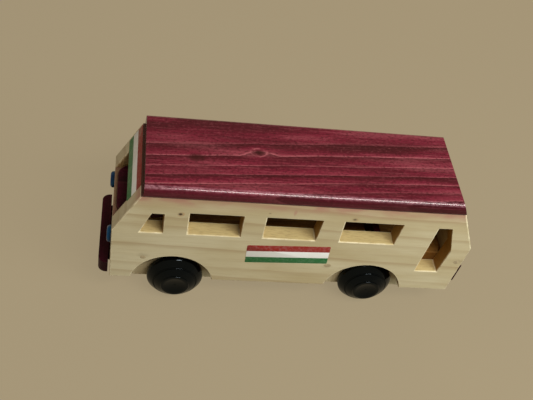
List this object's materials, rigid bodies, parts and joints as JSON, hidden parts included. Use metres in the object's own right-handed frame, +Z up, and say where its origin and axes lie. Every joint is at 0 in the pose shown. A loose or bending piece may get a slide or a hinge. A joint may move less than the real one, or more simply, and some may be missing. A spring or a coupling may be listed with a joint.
{
  "type": "toy bus",
  "caption": "Wooden toy bus with sawn side windows, an open cabin, a rounded stained roof, bumpers, button headlights and turned wheels that roll on round axles.",
  "frame": {"origin": "on the ground, under the middle of the whole bus", "axes": "+X towards the front of the bus, +Y towards its left side, +Z up"},
  "size_m": [0.2596, 0.077, 0.1143],
  "materials": {
    "pine": "sanded pine under a thin clear coat",
    "maroon_stain": "maroon stain under gloss varnish",
    "black_lacquer": "black gloss lacquer on turned wood",
    "steel": "plain steel",
    "blue_lamp": "glossy dark blue"
  },
  "bodies": {
    "body": {"left_wall": "pine", "right_wall": "pine", "floor_board": "pine", "front_panel": "pine", "rear_panel": "pine", "windscreen_header": "pine", "rear_header": "pine", "front_axle_block": "pine", "rear_axle_block": "pine", "roof": "maroon_stain", "dash_board": "maroon_stain", "cross_board": "maroon_stain", "front_bumper": "maroon_stain", "bumper_packing": "maroon_stain", "rear_bumper": "maroon_stain", "left_nails": "steel", "right_nails": "steel", "left_headlight": "blue_lamp", "right_headlight": "blue_lamp"},
    "front_wheelset": {"front_axle": "steel", "front_left_wheel": "black_lacquer", "front_right_wheel": "black_lacquer", "front_washers": "steel"},
    "rear_wheelset": {"rear_axle": "steel", "rear_left_wheel": "black_lacquer", "rear_right_wheel": "black_lacquer", "rear_washers": "steel"}
  },
  "joints": [
    {"name": "front_axle_spin", "type": "hinge", "parent": "body", "child": "front_wheelset", "pos_m": [0.07601, 0, 0.0198], "axis": [0, 1, 0], "continuous": true},
    {"name": "rear_axle_spin", "type": "hinge", "parent": "body", "child": "rear_wheelset", "pos_m": [-0.06424, 0, 0.0198], "axis": [0, 1, 0], "continuous": true}
  ]
}
